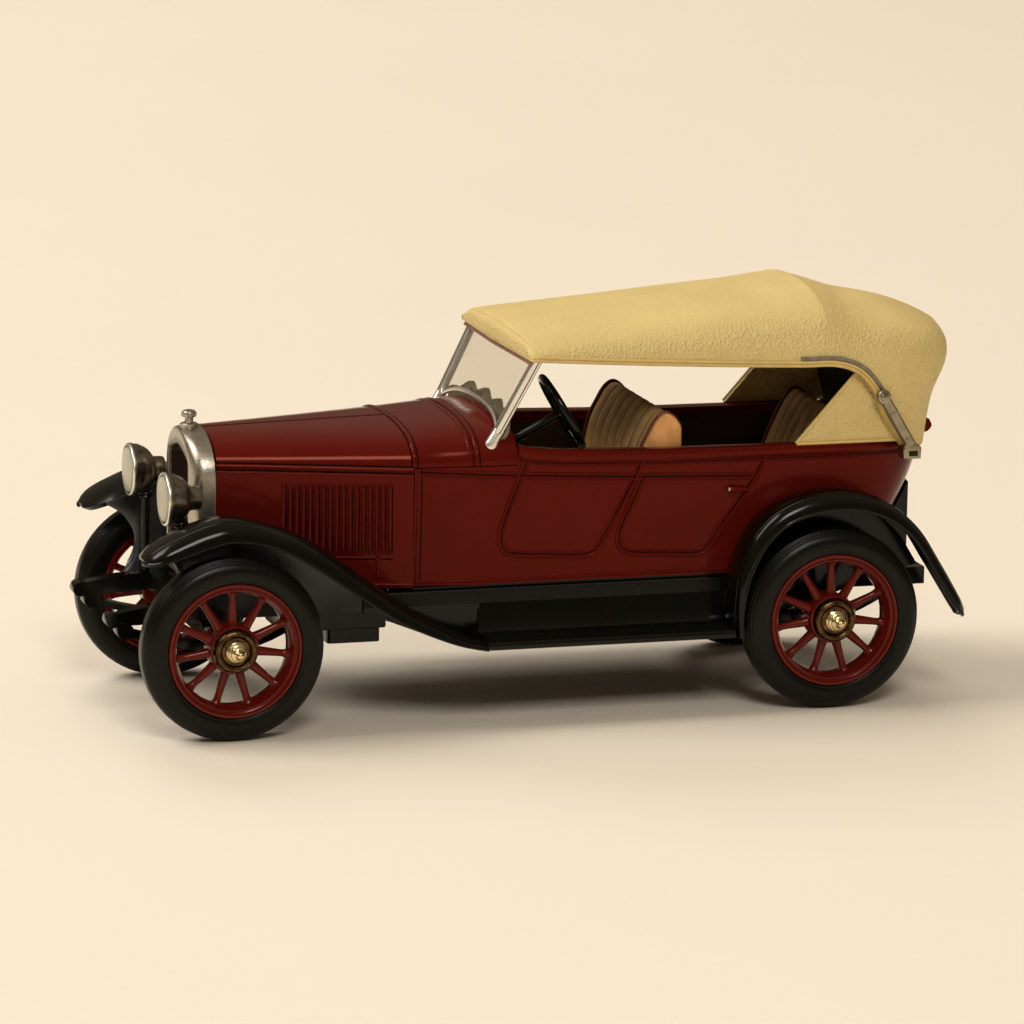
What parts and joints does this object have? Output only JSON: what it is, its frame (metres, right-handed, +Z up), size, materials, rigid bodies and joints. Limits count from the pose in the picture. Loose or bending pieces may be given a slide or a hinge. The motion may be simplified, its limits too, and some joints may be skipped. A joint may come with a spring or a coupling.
{
  "type": "scale model touring car",
  "caption": "Scale model of an open touring car with a raised cloth top, spoked wheels that turn, benches, folding-style windscreen and separate wings.",
  "frame": {"origin": "on the floor under the middle of the model's overall length and width", "axes": "+X forward along the car, +Y to the car's left, +Z up"},
  "size_m": [0.0966, 0.0398, 0.0451],
  "materials": {
    "gloss_black": "glossy black moulded wings, boards and running gear",
    "maroon_paint": "glossy maroon paint over die-cast metal",
    "wheel_red": "glossy dark red moulding",
    "tyre": "satin black rubber with fine ribs",
    "brass": "turned brass in a darkened bronze cup",
    "satin_nickel": "satin silver plate with fine speckle",
    "bright_plate": "bright plate",
    "pewter": "dull pewter plate",
    "lens": "cream translucent moulding",
    "clear": "clear, slightly grey",
    "black_plastic": "gloss black moulding",
    "brown_plastic": "dark brown matt moulding",
    "seat_tan": "olive tan moulded bench with red-brown pleats",
    "top_tan": "pale straw moulding with a leather grain"
  },
  "bodies": {
    "car": {"frame": "gloss_black", "front_springs": "gloss_black", "rear_springs": "gloss_black", "sump": "gloss_black", "front_axle": "gloss_black", "rear_axle": "gloss_black", "front_wing_left": "gloss_black", "front_wing_right": "gloss_black", "rear_wing_left": "gloss_black", "rear_wing_right": "gloss_black", "running_board_left": "gloss_black", "running_board_right": "gloss_black", "radiator_shell": "satin_nickel", "radiator_core": "brown_plastic", "radiator_cap": "satin_nickel", "headlamps": "pewter", "lamp_lenses": "lens", "bonnet": "maroon_paint", "cowl": "maroon_paint", "body_tub": "maroon_paint", "tail_roll": "maroon_paint", "floor": "brown_plastic", "dashboard": "brown_plastic", "front_seat": "seat_tan", "rear_seat": "seat_tan", "steering_wheel": "black_plastic", "windscreen_frame": "bright_plate", "windscreen_glass": "clear", "screen_apron": "satin_nickel", "soft_top": "top_tan", "quarter_panels": "top_tan", "landau_irons": "bright_plate", "rear_trunk": "gloss_black"},
    "front_left_wheel": {"wheel_front_left": "wheel_red", "tyre_front_left": "tyre", "hub_cap_front_left": "brass"},
    "front_right_wheel": {"wheel_front_right": "wheel_red", "tyre_front_right": "tyre", "hub_cap_front_right": "brass"},
    "rear_left_wheel": {"wheel_rear_left": "wheel_red", "tyre_rear_left": "tyre", "hub_cap_rear_left": "brass"},
    "rear_right_wheel": {"wheel_rear_right": "wheel_red", "tyre_rear_right": "tyre", "hub_cap_rear_right": "brass"}
  },
  "joints": [
    {"name": "front_left_roll", "type": "hinge", "parent": "car", "child": "front_left_wheel", "pos_m": [0.03625, 0.0155, 0.01], "axis": [0, 1, 0], "continuous": true},
    {"name": "front_right_roll", "type": "hinge", "parent": "car", "child": "front_right_wheel", "pos_m": [0.03625, -0.0155, 0.01], "axis": [0, 1, 0], "continuous": true},
    {"name": "rear_left_roll", "type": "hinge", "parent": "car", "child": "rear_left_wheel", "pos_m": [-0.03105, 0.0155, 0.01], "axis": [0, 1, 0], "continuous": true},
    {"name": "rear_right_roll", "type": "hinge", "parent": "car", "child": "rear_right_wheel", "pos_m": [-0.03105, -0.0155, 0.01], "axis": [0, 1, 0], "continuous": true}
  ]
}
